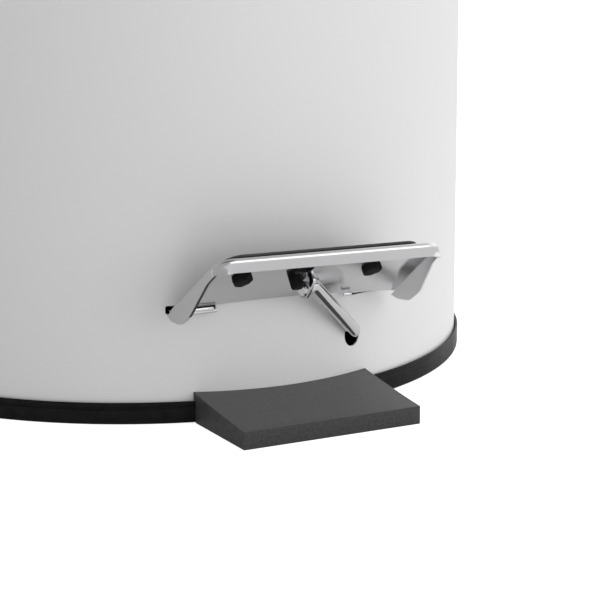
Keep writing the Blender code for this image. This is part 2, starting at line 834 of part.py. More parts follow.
def pedal_plate(pivot):
    """The pressed steel pedal: plate, front strip, ears, tongues and hook tab in one piece."""
    corners = [
        (-PLATE_HALF_INNER, -PLATE_INNER, 0), (PLATE_HALF_INNER, -PLATE_INNER, 0),
        (PLATE_HALF_OUTER, -PLATE_OUTER, 0), (-PLATE_HALF_OUTER, -PLATE_OUTER, 0),
    ]
    level = Matrix.Translation((0, 0, PLATE_TOP - PLATE / 2))
    plate = flat("pedal_plate", corners, PLATE, level, CHROME, pivot)
    cut(plate, box("window", (-0.008, -0.0255, -0.01), (0.0024, -0.0085, 0.01), parent=pivot))
    for number, (x, up) in enumerate(PLUG_PLACES):
        hole = cylinder(
            f"plug_hole_{number}", (x, -up, -0.01), (x, -up, 0.01), PLUG_RADIUS + CLEARANCE,
            parent=pivot,
        )
        cut(plate, hole)
    strip = box(
        "strip", (-PLATE_HALF_OUTER + 0.0004, -0.1796, 0.0693),
        (PLATE_HALF_OUTER - 0.0004, -0.1784, 0.0752),
    )
    join(plate, strip)
    for side in (-1, 1):
        x = sorted((side * 0.0335, side * 0.0485))
        root = box(
            f"tongue_root_{side}", (x[0], -0.012, PLATE_TOP - PLATE), (x[1], -0.0036, PLATE_TOP),
            parent=pivot,
        )
        tongue = box(f"tongue_{side}", (x[0], -0.1464, 0.0470), (x[1], -0.1310, 0.0482))
        join(plate, root, tongue, pedal_ear(pivot, side))
    tab_corners = [
        (0.0100, -0.0020), (0.0272, -0.0020), (0.0272, -0.0080),
        (0.0250, -0.0118), (0.0185, -0.0118), (0.0130, -0.0065),
    ]
    outline = rounded([(s, n, 0) for s, n in tab_corners], 0.0009, closed=True, steps=2)
    join(plate, flat("tab", outline, PLATE, side_matrix(0.0030), parent=pivot))
    cut(plate, tab_slot(pivot))
    return plate


def tab_slot(pivot):
    """The oval hole in the tab: the wire's hook also slides a little in it as the pedal drops."""
    hook = pivot.matrix_world.inverted() @ HOOK
    middle = Vector((0, hook.y - 0.0004, hook.z - 0.0002))
    slot = cylinder(
        "tab_slot", middle - Vector((0.01, 0, 0)), middle + Vector((0.01, 0, 0)), 0.0029,
        parent=pivot,
    )
    stretch = Matrix.Translation(middle) @ Matrix.Diagonal((1, 1.25, 1, 1))
    slot.data.transform(stretch @ Matrix.Translation(-middle))
    return slot


def pedal_pad(pivot):
    """The rubber tread on the plate, with three plugs that go through it."""
    bottom = PLATE_TOP + 0.0003
    corners = [(-0.045, -0.0085, 0), (0.045, -0.0085, 0), (0.045, -0.0465, 0), (-0.045, -0.0465, 0)]
    outline = rounded(corners, 0.002, closed=True, steps=3)
    level = Matrix.Translation((0, 0, bottom + 0.0007))
    pad = flat("pedal_pad", outline, 0.0014, level, RUBBER, pivot)
    for number, (x, up) in enumerate(PLUG_PLACES):
        plug = cylinder(
            f"plug_{number}", (x, -up, PLATE_TOP - PLATE - 0.0012), (x, -up, bottom + 0.0005),
            PLUG_RADIUS, parent=pivot,
        )
        join(pad, plug)
    return pad


def build():
    base_ring()
    anti_tip_foot()
    foot_screws()
    body_shell()
    rim_collar()
    inner_bucket()
    bucket_handle()
    handle_grip()
    lid_shell()
    lid_liner()
    lid_rivets()
    lid_bumpers()
    hinge_bracket()
    hinge_pin()
    lid_hinge_arm()
    push_rod()
    push_rod_guides()
    rear_rivets()
    lever_rod()
    fulcrum_saddles()
    pivot = pedal_frame()
    pedal_plate(pivot)
    pedal_pad(pivot)
    shade_round_pieces()


build()
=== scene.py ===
"""Looks of the pedal trash can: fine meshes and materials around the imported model, in metres."""

import json
import math

import bmesh
import bpy
from mathutils import Matrix, Vector


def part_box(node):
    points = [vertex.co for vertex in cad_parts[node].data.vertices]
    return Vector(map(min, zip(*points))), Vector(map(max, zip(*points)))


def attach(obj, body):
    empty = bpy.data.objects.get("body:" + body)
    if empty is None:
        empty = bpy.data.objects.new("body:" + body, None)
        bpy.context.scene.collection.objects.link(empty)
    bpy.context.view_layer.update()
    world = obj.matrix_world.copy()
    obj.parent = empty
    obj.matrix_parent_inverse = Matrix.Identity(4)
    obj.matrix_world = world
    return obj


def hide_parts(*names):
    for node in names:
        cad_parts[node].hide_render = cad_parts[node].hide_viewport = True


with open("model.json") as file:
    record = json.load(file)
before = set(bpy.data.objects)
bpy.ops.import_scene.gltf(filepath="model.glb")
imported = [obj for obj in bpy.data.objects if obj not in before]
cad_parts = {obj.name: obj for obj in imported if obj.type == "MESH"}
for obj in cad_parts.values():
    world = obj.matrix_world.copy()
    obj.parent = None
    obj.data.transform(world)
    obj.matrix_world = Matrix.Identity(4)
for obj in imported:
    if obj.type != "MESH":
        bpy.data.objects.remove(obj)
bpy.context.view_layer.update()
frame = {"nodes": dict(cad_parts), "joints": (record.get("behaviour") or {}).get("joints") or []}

# Places and sizes read from the CAD model


def joint_place(name):
    return next(Vector(joint["pos_m"]) for joint in frame["joints"] if joint["name"] == name)


def corners_of(node):
    """The CAD node's lowest and highest corner to the micron, past which its digits are noise."""
    return [[round(value, 6) for value in corner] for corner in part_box(node)]


(_, _, BODY_BOTTOM), (BODY_RADIUS, _, BODY_TOP) = corners_of("body_shell")
(_, _, LID_BOTTOM), (LID_RADIUS, _, LID_TOP) = corners_of("lid_shell")
(_, FOOT_FRONT, _), (FOOT_HALF, _, _) = corners_of("anti_tip_foot")
FOOT_REACH = -FOOT_FRONT
RING_RADIUS = corners_of("base_ring")[1][0]
COLLAR_TOP = corners_of("rim_collar")[1][2]
LEVER_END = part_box("lever_rod")[1].y
HINGE = joint_place("lid_hinge")
FULCRUM = joint_place("lever_hinge")

# Sizes that several pieces share

# Thickness of the body's and lid's sheet, and its gap to the plastic mouldings
SHEET = 0.0008
SHELL_GAP = 0.00035
RING_HEIGHT = 0.0093
# Thickness of the pedal's plate, and radius of the lever's wire
PLATE = 0.0012
WIRE = 0.00285
LIFT_ROD_Y = 0.141
HANDLE_RADIUS = 0.1355
HANDLE_HEIGHT = 0.4051
# Steps round a large turned piece
FINE = 224

# The wire's path: the free end of its hook, the hook's corner, and the bend outside the body
HOOK_END = Vector((-0.0015, -0.1615, 0.0557))
HOOK = Vector((0.0055, -0.15875, 0.0569))
ROD_BEND = Vector((0.0340, -0.1436, 0.0303))

# The pedal's own frame: -Y runs up along the plate and +Z is square to it.
# The pedal hangs a little crooked in its slots.
PEDAL_PLACE = Vector((0.0009, -0.140, 0.0484))
PEDAL_TILT = math.radians(36.2)
PEDAL_YAW = math.radians(1.24)
PEDAL_ROLL = math.radians(1.85)
PEDAL_FRAME = (
    Matrix.Translation(PEDAL_PLACE)
    @ Matrix.Rotation(PEDAL_YAW, 4, "Z")
    @ Matrix.Rotation(PEDAL_ROLL, 4, "Y")
    @ Matrix.Rotation(-PEDAL_TILT, 4, "X")
)

# These stand a flat outline upright: (X, height) or (Y, height)
FACING_FRONT = Matrix(((1, 0, 0, 0), (0, 0, 1, 0), (0, 1, 0, 0), (0, 0, 0, 1)))
FACING_SIDE = Matrix(((0, 0, 1, 0), (1, 0, 0, 0), (0, 1, 0, 0), (0, 0, 0, 1)))


# Camera, light and floor

def add_camera():
    """A long lens a little above the pedal, from its left."""
    data = bpy.data.cameras.new("camera")
    data.sensor_width = 36
    data.lens = 147.95
    data.clip_end = 50
    camera = bpy.data.objects.new("camera", data)
    bpy.context.scene.collection.objects.link(camera)
    camera.location = (-0.4621, -1.0228, 0.2835)
    looking = Vector((0.4584, 0.8582, -0.2309))
    camera.rotation_mode = "QUATERNION"
    camera.rotation_quaternion = looking.to_track_quat("-Z", "Y")
    bpy.context.scene.camera = camera


def smooth_ramp(nodes, start, end, low, high):
    """A node that goes smoothly from low to high as its value goes from start to end."""
    ramp = nodes.new("ShaderNodeMapRange")
    ramp.interpolation_type = "SMOOTHSTEP"
    ramp.inputs["From Min"].default_value = start
    ramp.inputs["From Max"].default_value = end
    ramp.inputs["To Min"].default_value = low
    ramp.inputs["To Max"].default_value = high
    return ramp


def add_world():
    """A white studio to the eye; as a light it is brighter at the right, dimmer overhead."""
    world = bpy.data.worlds.new("studio")
    bpy.context.scene.world = world
    world.use_nodes = True
    nodes = world.node_tree.nodes
    nodes.clear()
    output = nodes.new("ShaderNodeOutputWorld")
    direction = nodes.new("ShaderNodeTexCoord").outputs["Generated"]
    side = nodes.new("ShaderNodeVectorMath")
    side.operation = "DOT_PRODUCT"
    side.inputs[1].default_value = Vector((0.93, 0.25, 0.25)).normalized()
    brightness = smooth_ramp(nodes, -0.6, 0.9, 0.67, 1.73)
    height = nodes.new("ShaderNodeSeparateXYZ")
    overhead = smooth_ramp(nodes, 0.60, 1.0, 1.0, 0.20)
    strength = nodes.new("ShaderNodeMath")
    strength.operation = "MULTIPLY"
    lit = nodes.new("ShaderNodeBackground")
    seen = nodes.new("ShaderNodeBackground")
    seen.inputs["Color"].default_value = (1, 1, 1, 1)
    seen.inputs["Strength"].default_value = 1.05
    path = nodes.new("ShaderNodeLightPath")
    mix = nodes.new("ShaderNodeMixShader")
    for source, target in (
        (direction, side.inputs[0]),
        (side.outputs["Value"], brightness.inputs["Value"]),
        (direction, height.inputs[0]),
        (height.outputs["Z"], overhead.inputs["Value"]),
        (brightness.outputs["Result"], strength.inputs[0]),
        (overhead.outputs["Result"], strength.inputs[1]),
        (strength.outputs[0], lit.inputs["Strength"]),
        (path.outputs["Is Camera Ray"], mix.inputs["Fac"]),
        (lit.outputs[0], mix.inputs[1]),
        (seen.outputs[0], mix.inputs[2]),
        (mix.outputs[0], output.inputs["Surface"]),
    ):
        world.node_tree.links.new(source, target)


def add_softbox():
    """One broad soft light in front of the bin, to the right."""
    data = bpy.data.lights.new("softbox", "AREA")
    data.shape = "RECTANGLE"
    data.size = 2.4
    data.size_y = 2.0
    data.energy = 17
    light = bpy.data.objects.new("softbox", data)
    bpy.context.scene.collection.objects.link(light)
    target = Vector((0, 0, 0.15))
    light.location = (0.8, -2.9, 1.1)
    light.rotation_mode = "QUATERNION"
    light.rotation_quaternion = (target - light.location).to_track_quat("-Z", "Y")
    light.visible_camera = False


def add_floor():
    """A floor that looks white, shines a little in reflections, and lights the bin as matt paint."""
    mesh = mesh_of("floor", lambda shape: bmesh.ops.create_circle(
        shape, cap_ends=True, segments=96, radius=6))
    floor = bpy.data.objects.new("floor", mesh)
    bpy.context.scene.collection.objects.link(floor)
    material = bpy.data.materials.new("floor")
    material.use_nodes = True
    nodes = material.node_tree.nodes
    links = material.node_tree.links
    nodes.clear()

    def matt(grey):
        shader = nodes.new("ShaderNodeBsdfDiffuse")
        shader.inputs["Color"].default_value = (grey, grey, grey, 1)
        return shader.outputs[0]

    def glowing(strength):
        """Matt paint with a glow of this strength added."""
        glow = nodes.new("ShaderNodeEmission")
        glow.inputs["Strength"].default_value = strength
        total = nodes.new("ShaderNodeAddShader")
        links.new(glow.outputs[0], total.inputs[0])
        links.new(matt(0.85), total.inputs[1])
        return total.outputs[0]

    def chosen(ray, others, these):
        """One shader for the rays of this kind and another for the others."""
        mix = nodes.new("ShaderNodeMixShader")
        links.new(path.outputs[ray], mix.inputs["Fac"])
        links.new(others, mix.inputs[1])
        links.new(these, mix.inputs[2])
        return mix.outputs[0]

    path = nodes.new("ShaderNodeLightPath")
    output = nodes.new("ShaderNodeOutputMaterial")
    unseen = chosen("Is Diffuse Ray", glowing(0.22), matt(0.88))
    links.new(chosen("Is Camera Ray", unseen, glowing(0.80)), output.inputs["Surface"])
    mesh.materials.append(material)


# Materials

# A Mix node's colour sockets share their names with its number sockets, so they go by number
MIX_FIRST = 6
MIX_SECOND = 7
MIX_RESULT = 2


class Finish:
    """A Principled material whose details come from procedural textures in object space."""

    def __init__(self, name, colour, roughness, metallic=0.0, **sockets):
        self.material = bpy.data.materials.new(name)
        self.material.use_nodes = True
        self.nodes = self.material.node_tree.nodes
        self.links = self.material.node_tree.links
        self.shader = self.nodes["Principled BSDF"]
        self.colour = colour
        self.shader.inputs["Base Color"].default_value = (*colour, 1)
        self.shader.inputs["Roughness"].default_value = roughness
        self.shader.inputs["Metallic"].default_value = metallic
        for socket, value in sockets.items():
            self.shader.inputs[socket].default_value = value
        self.place = self.nodes.new("ShaderNodeTexCoord").outputs["Object"]
        self.tinted = None
        self.normal = None

    def noise(self, scale, detail=3.0, stretch=(1, 1, 1)):
        """A noise from 0 to 1 at this many features a metre."""
        mapping = self.nodes.new("ShaderNodeMapping")
        mapping.inputs["Scale"].default_value = stretch
        self.links.new(self.place, mapping.inputs["Vector"])
        texture = self.nodes.new("ShaderNodeTexNoise")
        texture.inputs["Scale"].default_value = scale
        texture.inputs["Detail"].default_value = detail
        self.links.new(mapping.outputs[0], texture.inputs["Vector"])
        return texture.outputs["Fac"]

    def cells(self, scale):
        """The distance from the middles of random cells, this many a metre."""
        texture = self.nodes.new("ShaderNodeTexVoronoi")
        texture.inputs["Scale"].default_value = scale
        self.links.new(self.place, texture.inputs["Vector"])
        return texture.outputs["Distance"]

    def between(self, factor, low, high, start=0.2, end=0.8):
        """The factor mapped to a range of numbers."""
        ramp = smooth_ramp(self.nodes, start, end, low, high)
        self.links.new(factor, ramp.inputs["Value"])
        return ramp.outputs["Result"]

    def rough(self, factor, low, high):
        self.links.new(self.between(factor, low, high), self.shader.inputs["Roughness"])

    def colour_mix(self, factor, second):
        """A mix towards the second colour, which becomes the base colour."""
        mix = self.nodes.new("ShaderNodeMix")
        mix.data_type = "RGBA"
        mix.inputs[MIX_SECOND].default_value = (*second, 1)
        self.links.new(factor, mix.inputs["Factor"])
        self.links.new(mix.outputs[MIX_RESULT], self.shader.inputs["Base Color"])
        return mix

    def tint(self, factor, darker, lighter):
        """The base colour varied between two brightnesses of itself."""
        mix = self.colour_mix(self.between(factor, 0, 1), [c * lighter for c in self.colour])
        mix.inputs[MIX_FIRST].default_value = (*(c * darker for c in self.colour), 1)
        self.tinted = mix.outputs[MIX_RESULT]

    def paint_top_light(self, colour):
        """A paler colour over the tint on the faces that look up: painted light falling from above.
        """
        facing = self.nodes.new("ShaderNodeTexCoord").outputs["Normal"]
        split = self.nodes.new("ShaderNodeSeparateXYZ")
        self.links.new(facing, split.inputs[0])
        mix = self.colour_mix(self.between(split.outputs["Z"], 0, 1, 0, 1), colour)
        self.links.new(self.tinted, mix.inputs[MIX_FIRST])

    def bump(self, factor, height, strength):
        """Relief of this height in metres, added to the relief before it."""
        bump = self.nodes.new("ShaderNodeBump")
        bump.inputs["Distance"].default_value = height
        bump.inputs["Strength"].default_value = strength
        self.links.new(factor, bump.inputs["Height"])
        if self.normal:
            self.links.new(self.normal, bump.inputs["Normal"])
        self.normal = bump.outputs["Normal"]
        self.links.new(self.normal, self.shader.inputs["Normal"])


def white_paint():
    """Satin white paint with a faint orange peel."""
    finish = Finish("white_paint", (0.80, 0.80, 0.80), 0.3,
                    **{"Coat Weight": 0.25, "Coat Roughness": 0.14})
    finish.rough(finish.noise(14, 1), 0.29, 0.33)
    finish.tint(finish.noise(5, 1), 0.994, 1.003)
    finish.bump(finish.noise(420, 2), 0.00002, 0.2)
    return finish.material


def black_plastic(name="black_plastic", colour=(0.013, 0.013, 0.014), low=0.30, high=0.42):
    """Moulded plastic with a fine spark texture and slightly worn patches."""
    finish = Finish(name, colour, 0.36)
    finish.rough(finish.noise(60), low, high)
    finish.tint(finish.noise(140, 5), 0.8, 1.35)
    finish.bump(finish.noise(1600, 3), 0.00003, 0.35)
    return finish.material


def base_plastic():
    """The base's deep black plastic, with little shine of its own."""
    finish = Finish("base_plastic", (0.005, 0.005, 0.005), 0.4, **{"Specular IOR Level": 0.12})
    finish.rough(finish.noise(70), 0.32, 0.44)
    finish.tint(finish.noise(260, 5), 0.6, 1.7)
    finish.bump(finish.noise(1600, 3), 0.00003, 0.35)
    return finish.material


def foot_plastic():
    """Dark grey grained plastic with pale scuffs, its faces that look up painted paler as painted
    light from above.
    """
    finish = Finish("foot_plastic", (0.046, 0.046, 0.047), 0.6, **{"Specular IOR Level": 0.35})
    finish.rough(finish.noise(700, 4), 0.50, 0.64)
    finish.tint(finish.noise(900, 6), 0.65, 1.35)
    # Painted light: the faces that look up are made paler, as if lit from above
    finish.paint_top_light((0.105, 0.105, 0.107))
    finish.bump(finish.cells(1200), 0.00006, 0.35)
    finish.bump(finish.noise(2600, 4), 0.00005, 0.6)
    return finish.material


def rubber(name="rubber", top_lit=True):
    """Matt black rubber, with or without its faces that look up painted paler as painted light from
    above.
    """
    finish = Finish(name, (0.006, 0.006, 0.006), 0.7, **{"Specular IOR Level": 0.15})
    finish.rough(finish.noise(150), 0.6, 0.8)
    finish.tint(finish.noise(300, 5), 0.7, 1.5)
    # Painted light: the faces that look up are made paler, as if lit from above
    if top_lit:
        finish.paint_top_light((0.095, 0.095, 0.096))
    finish.bump(finish.noise(1300, 4), 0.00006, 0.6)
    return finish.material


def chrome():
    """Mirror chrome with faint smears and hairline polish marks."""
    finish = Finish("chrome", (0.60, 0.60, 0.61), 0.13, 1.0)
    finish.rough(finish.noise(45, 5), 0.09, 0.19)
    finish.tint(finish.noise(30, 3), 0.95, 1.03)
    finish.bump(finish.noise(900, 2, (1, 14, 14)), 0.000002, 0.25)
    finish.bump(finish.noise(60, 2), 0.00008, 0.12)
    return finish.material


def zinc_steel():
    """Zinc-plated steel with a fine grain and dull patches."""
    finish = Finish("zinc_steel", (0.56, 0.57, 0.59), 0.3, 1.0)
    finish.rough(finish.noise(180, 5), 0.24, 0.42)
    finish.tint(finish.noise(90, 4), 0.82, 1.12)
    finish.bump(finish.noise(1500, 3, (1, 1, 6)), 0.00001, 0.4)
    return finish.material


# Mesh helpers

def mesh_of(name, build):
    """A mesh from a function that builds its shape, with doubled points joined."""
    mesh = bpy.data.meshes.new(name)
    shape = bmesh.new()
    build(shape)
    bmesh.ops.remove_doubles(shape, verts=shape.verts, dist=0.0000005)
    bmesh.ops.recalc_face_normals(shape, faces=shape.faces)
    shape.to_mesh(mesh)
    shape.free()
    return mesh


def add(name, mesh, matrix=None):
    """An object of this mesh, moved by the matrix and turned right side out."""
    if matrix is not None:
        mesh.transform(matrix)
        if matrix.determinant() < 0:
            mesh.flip_normals()
    obj = bpy.data.objects.new(name, mesh)
    bpy.context.scene.collection.objects.link(obj)
    return obj


def rounded(corners, radius, closed=False, steps=5):
    """The corners as a path whose bends are arcs of one radius, or of a radius each."""
    points = [Vector(corner) for corner in corners]
    count = len(points)
    radii = radius if isinstance(radius, (list, tuple)) else [radius] * count
    path = []
    for i, corner in enumerate(points):
        if (not closed and i in (0, count - 1)) or radii[i] == 0:
            path.append(corner)
            continue
        back = (points[i - 1] - corner).normalized()
        ahead = (points[(i + 1) % count] - corner).normalized()
        half = back.angle(ahead) / 2
        centre = corner + (back + ahead).normalized() * radii[i] / math.sin(half)
        first = (corner + back * radii[i] / math.tan(half) - centre).normalized()
        last = (corner + ahead * radii[i] / math.tan(half) - centre).normalized()
        turn = first.angle(last)
        for step in range(steps + 1):
            share = step / steps
            away = first * math.sin((1 - share) * turn) + last * math.sin(share * turn)
            path.append(centre + away / math.sin(turn) * radii[i])
    return path


def arc(radius, start, end, steps, centre=(0, 0)):
    """Points of an arc in a plane, between two angles in degrees from its first axis."""
    angles = [math.radians(start + (end - start) * k / steps) for k in range(steps + 1)]
    return [(centre[0] + radius * math.cos(a), centre[1] + radius * math.sin(a)) for a in angles]


def pointing(place, axis):
    """Moves a piece made along Z to this place, along this axis."""
    return Matrix.Translation(place) @ axis.to_track_quat("Z", "Y").to_matrix().to_4x4()


def lathe(name, profile, matrix=None, steps=FINE):
    """A profile of (radius, height) points turned about Z: a loop, or from axis to axis."""
    closed = profile[0][0] > 0

    def build(shape):
        rings = []
        for step in range(steps):
            angle = math.tau * step / steps
            rings.append([
                shape.verts.new((p[0] * math.cos(angle), p[0] * math.sin(angle), p[1]))
                for p in profile
            ])
        count = len(profile)
        for step in range(steps):
            here = rings[step]
            there = rings[(step + 1) % steps]
            for i in range(count if closed else count - 1):
                j = (i + 1) % count
                shape.faces.new((here[i], here[j], there[j], there[i]))

    return add(name, mesh_of(name, build), matrix)


def slab(name, outline, low, high, matrix=None):
    """A flat outline in X and Y between two heights."""
    def build(shape):
        bottom = [shape.verts.new((p[0], p[1], low)) for p in outline]
        top = [shape.verts.new((p[0], p[1], high)) for p in outline]
        shape.faces.new(bottom[::-1])
        shape.faces.new(top)
        for i in range(len(outline)):
            j = (i + 1) % len(outline)
            shape.faces.new((bottom[i], bottom[j], top[j], top[i]))

    return add(name, mesh_of(name, build), matrix)


def block(name, low, high, matrix=None):
    """A box between two corners."""
    outline = [(low[0], low[1]), (high[0], low[1]), (high[0], high[1]), (low[0], high[1])]
    return slab(name, outline, low[2], high[2], matrix)


def rod(name, start, end, radius, steps=48):
    """A straight round bar."""
    start = Vector(start)
    axis = Vector(end) - start
    profile = [(0, axis.length), (radius, axis.length), (radius, 0), (0, 0)]
    return lathe(name, profile, pointing(start, axis), steps)


def skin(shape, rings, sides):
    """Faces round a row of rings, each (centre, across, up, radius), and over both its ends."""
    loops = []
    for centre, across, up, radius in rings:
        loops.append([
            shape.verts.new(centre + (across * math.cos(a) + up * math.sin(a)) * radius)
            for a in (math.tau * k / sides for k in range(sides))
        ])
    for here, there in zip(loops, loops[1:]):
        for k in range(sides):
            j = (k + 1) % sides
            shape.faces.new((here[k], here[j], there[j], there[k]))
    shape.faces.new(loops[0][::-1])
    shape.faces.new(loops[-1])


def tube_path(name, path, radius, sides, chamfer=0.0):
    """A round wire along a path of points, its section kept square to the path."""
    points = [Vector(p) for p in path]
    last_one = len(points) - 1
    ahead = [
        (points[min(i + 1, last_one)] - points[max(i - 1, 0)]).normalized()
        for i in range(len(points))
    ]
    side = ahead[0].orthogonal().normalized()
    rings = []
    for i, point in enumerate(points):
        side = (side - ahead[i] * side.dot(ahead[i])).normalized()
        rings.append((point, side.copy(), ahead[i].cross(side), radius))
    if chamfer:
        first, last = rings[0], rings[-1]
        rings[0] = (*first[:3], radius - chamfer)
        rings.insert(1, (first[0] + ahead[0] * chamfer, *first[1:]))
        rings[-1] = (*last[:3], radius - chamfer)
        rings.insert(-1, (last[0] - ahead[-1] * chamfer, *last[1:]))
    return add(name, mesh_of(name, lambda shape: skin(shape, rings, sides)))


def settle(obj):
    """Gives the object its evaluated mesh."""
    bpy.context.view_layer.update()
    graph = bpy.context.evaluated_depsgraph_get()
    mesh = bpy.data.meshes.new_from_object(obj.evaluated_get(graph), depsgraph=graph)
    obj.modifiers.clear()
    obj.data = mesh


def combine(obj, operation, *others):
    """Joins, cuts or intersects the object with the others, which are then removed."""
    for other in others:
        modifier = obj.modifiers.new(other.name, "BOOLEAN")
        modifier.operation = operation
        modifier.object = other
    settle(obj)
    for other in others:
        bpy.data.objects.remove(other)


def cut(obj, *others):
    combine(obj, "DIFFERENCE", *others)


def join(obj, *others):
    combine(obj, "UNION", *others)


def soften(obj, width, segments, angle):
    """Rounds the edges that are sharper than the angle."""
    bevel = obj.modifiers.new("soft_edges", "BEVEL")
    bevel.width = width
    bevel.segments = segments
    bevel.limit_method = "ANGLE"
    bevel.angle_limit = math.radians(angle)
    bevel.use_clamp_overlap = True
    settle(obj)


def finish_piece(obj, material, body, slot, *nodes, angle=32, smooth=True):
    """Shades a piece, gives it its material, and ties it to the model."""
    mesh = obj.data
    mesh.materials.clear()
    mesh.materials.append(material)
    if smooth:
        mesh.shade_smooth()
        mesh.set_sharp_from_angle(angle=math.radians(angle))
    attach(obj, body)
    if nodes:
        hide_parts(*nodes)


# Body, base and foot

def radial_normals(mesh, radius):
    """True cylinder normals on the wall faces, so that the holes cut in it leave no dents."""
    nearness = 0.00002
    facing_out = 0.9
    normals = [None] * len(mesh.loops)
    for polygon in mesh.polygons:
        wall = all(
            abs(math.hypot(*mesh.vertices[v].co[:2]) - radius) < nearness
            for v in polygon.vertices
        )
        for loop in polygon.loop_indices:
            point = mesh.vertices[mesh.loops[loop].vertex_index].co
            out = Vector((point.x, point.y, 0)).normalized()
            round_here = wall and polygon.normal.dot(out) > facing_out
            normals[loop] = out if round_here else polygon.normal
    mesh.normals_split_custom_set(normals)


def pedal_slot(centre):
    """The cutter for the slot that a pedal tongue hangs in."""
    half, low, high = 0.010, 0.046, 0.0495
    outline = rounded(
        [(centre - half, low), (centre + half, low), (centre + half, high), (centre - half, high)],
        0.0009, closed=True,
    )
    return slab("slot", outline, -0.16, -0.12, FACING_FRONT)


def rod_hole():
    """The cutter for the wire's hole, taller than wide for the wire's swing."""
    radius, stretch = 0.0040, 1.26
    hole = rod("hole", (0, -0.16, 0), (0, -0.12, 0), radius)
    hole.data.transform(
        Matrix.Translation((0.0331, 0, 0.0289)) @ Matrix.Diagonal((1, 1, stretch, 1))
    )
    return hole


def body_shell():
    """The painted cylinder in fine strips, with pedal slots, rod hole and rear notch."""
    inner = BODY_RADIUS - SHEET
    levels = [BODY_BOTTOM, 0.018, 0.024, 0.034, 0.043, 0.052, 0.08, 0.14, 0.20, 0.26, 0.32, 0.37,
              0.39, BODY_TOP]
    profile = [(BODY_RADIUS, z) for z in reversed(levels)] + [(inner, z) for z in levels]
    shell = lathe("shell", profile, steps=288)
    slot_centre = 0.041
    cut(shell, pedal_slot(-slot_centre), pedal_slot(slot_centre), rod_hole(),
        block("notch", (-0.009, 0.13, 0.384), (0.009, 0.16, 0.42)))
    finish_piece(shell, WHITE, "body", "white_paint", "body_shell", smooth=False)
    shell.data.shade_smooth()
    radial_normals(shell.data, BODY_RADIUS)


def base_ring():
    """The black tray: rolled top lip, a groove under it and a rounded lower edge."""
    inside = BODY_RADIUS - SHEET - SHELL_GAP
    wall = RING_RADIUS - 0.0001
    groove = RING_RADIUS - 0.0005
    outer = rounded(
        [(0.1465, 0.0050, 0), (0.1465, RING_HEIGHT - 0.0004, 0), (0.1470, RING_HEIGHT, 0),
         (RING_RADIUS, RING_HEIGHT, 0), (RING_RADIUS, 0.0076, 0), (groove, 0.0073, 0),
         (groove, 0.0066, 0), (wall, 0.0062, 0), (wall, 0, 0), (0.1400, 0, 0)],
        [0, 0.0003, 0.0003, 0.0005, 0.0002, 0.0001, 0.0001, 0.0002, 0.0011, 0],
    )
    profile = [(0, 0.003), (0.1365, 0.003), (0.1370, 0.015), (0.1385, 0.016), (inside, 0.016),
               (inside, 0.0050)]
    profile += [(p.x, p.y) for p in outer] + [(0, 0)]
    ring = lathe("base_tray", profile)
    finish_piece(ring, BASE, "body", "black_plastic", "base_ring")


def foot_height(reach):
    """Height of the foot's slightly hollow top at this distance from the body's axis."""
    front_height, slope, hollow = 0.0076, 0.115, 0.0014
    body_edge = 0.141
    share = (FOOT_REACH - reach) / (FOOT_REACH - body_edge)
    return front_height + slope * (FOOT_REACH - reach) - hollow * share * (1 - share)


def foot():
    """The grained wedge on the floor, its back following the body, its edges rounded."""
    back = 0.136
    steps = 12
    gap = 0.0003
    reaches = [back + (FOOT_REACH - back) * i / steps for i in range(steps + 1)]
    outline = [(-y, foot_height(y)) for y in reaches] + [(-FOOT_REACH, 0), (-back, 0)]
    wedge = slab("foot_wedge", outline, -FOOT_HALF, FOOT_HALF, FACING_SIDE)
    below = (0, 0, -0.01)
    body_space = rod("body_space", below, (0, 0, 0.05), BODY_RADIUS + gap, 360)
    ring_space = rod("ring_space", below, (0, 0, RING_HEIGHT + 0.0004), RING_RADIUS + gap, 360)
    cut(wedge, body_space, ring_space)
    soften(wedge, 0.0014, 4, 40)
    finish_piece(wedge, FOOT, "body", "foot_plastic", "anti_tip_foot", angle=40)


# Pedal, in its own frame. "up" is the distance up the plate, and heights are over its plane.

# Height of the plate's middle surface, its edges and its half widths there, the radius of its
# corners and of its bends, the strip's length, and the underside of the tread
PLATE_MIDDLE = -0.0024
INNER_EDGE = 0.0069
OUTER_EDGE = 0.0490
HALF_INNER = 0.0530
HALF_OUTER = 0.0514
CORNER = 0.0072
BEND = 0.0010
STRIP_DROP = 0.0040
PAD_BOTTOM = PLATE_MIDDLE + PLATE / 2 + 0.0002
# The left ear is bent nearly square; the right one stands out more and is shallower
EAR_BENDS = {-1: math.radians(86), 1: math.radians(71)}
EAR_DEPTHS = {-1: 1.0, 1: 0.88}
# An ear seen from the side, as (up, height)
EAR_OUTLINE = [
    (-0.0016, -0.0016), (0.0520, -0.0020), (0.0500, -0.0062), (0.0362, -0.0068),
    (0.0175, -0.0119), (0.0078, -0.0116), (0.0008, -0.0066),
]
EAR_RADII = [0.0006, 0, 0, 0.010, 0.009, 0.007, 0.007]
EAR_PATH = rounded([(*p, 0) for p in EAR_OUTLINE], EAR_RADII, closed=True, steps=10)
# Where the ears begin, just inside the end of their outline
EAR_START = min(p.x for p in EAR_PATH) + 0.00002
# How far the edge faces the front, from 0 to 1, where an ear's bend starts to turn into the
# strip's, and where the flange becomes as deep as the strip
FACING_EAR = 0.09
FACING_STRIP = 0.35
# The small window punched beside the middle plug, as (x, -up)
WINDOW = [(-0.0095, -0.0358), (-0.0020, -0.0358), (-0.0020, -0.0306), (-0.0095, -0.0306)]
# The tread's plugs: x, up, radius, reach below the plate
PLUGS = {
    "tread_plug_left": (-0.0332, 0.0300, 0.0040, 0.0021),
    "tread_plug_middle": (-0.0064, 0.0255, 0.0027, 0.0044),
    "tread_plug_right": (0.0270, 0.0300, 0.0040, 0.0021),
}


def inner_edge(x):
    """How far up the plate its inner edge is at x: it follows the round body."""
    bow, half = 0.0036, 0.050
    return INNER_EDGE - bow * (x / half) ** 2


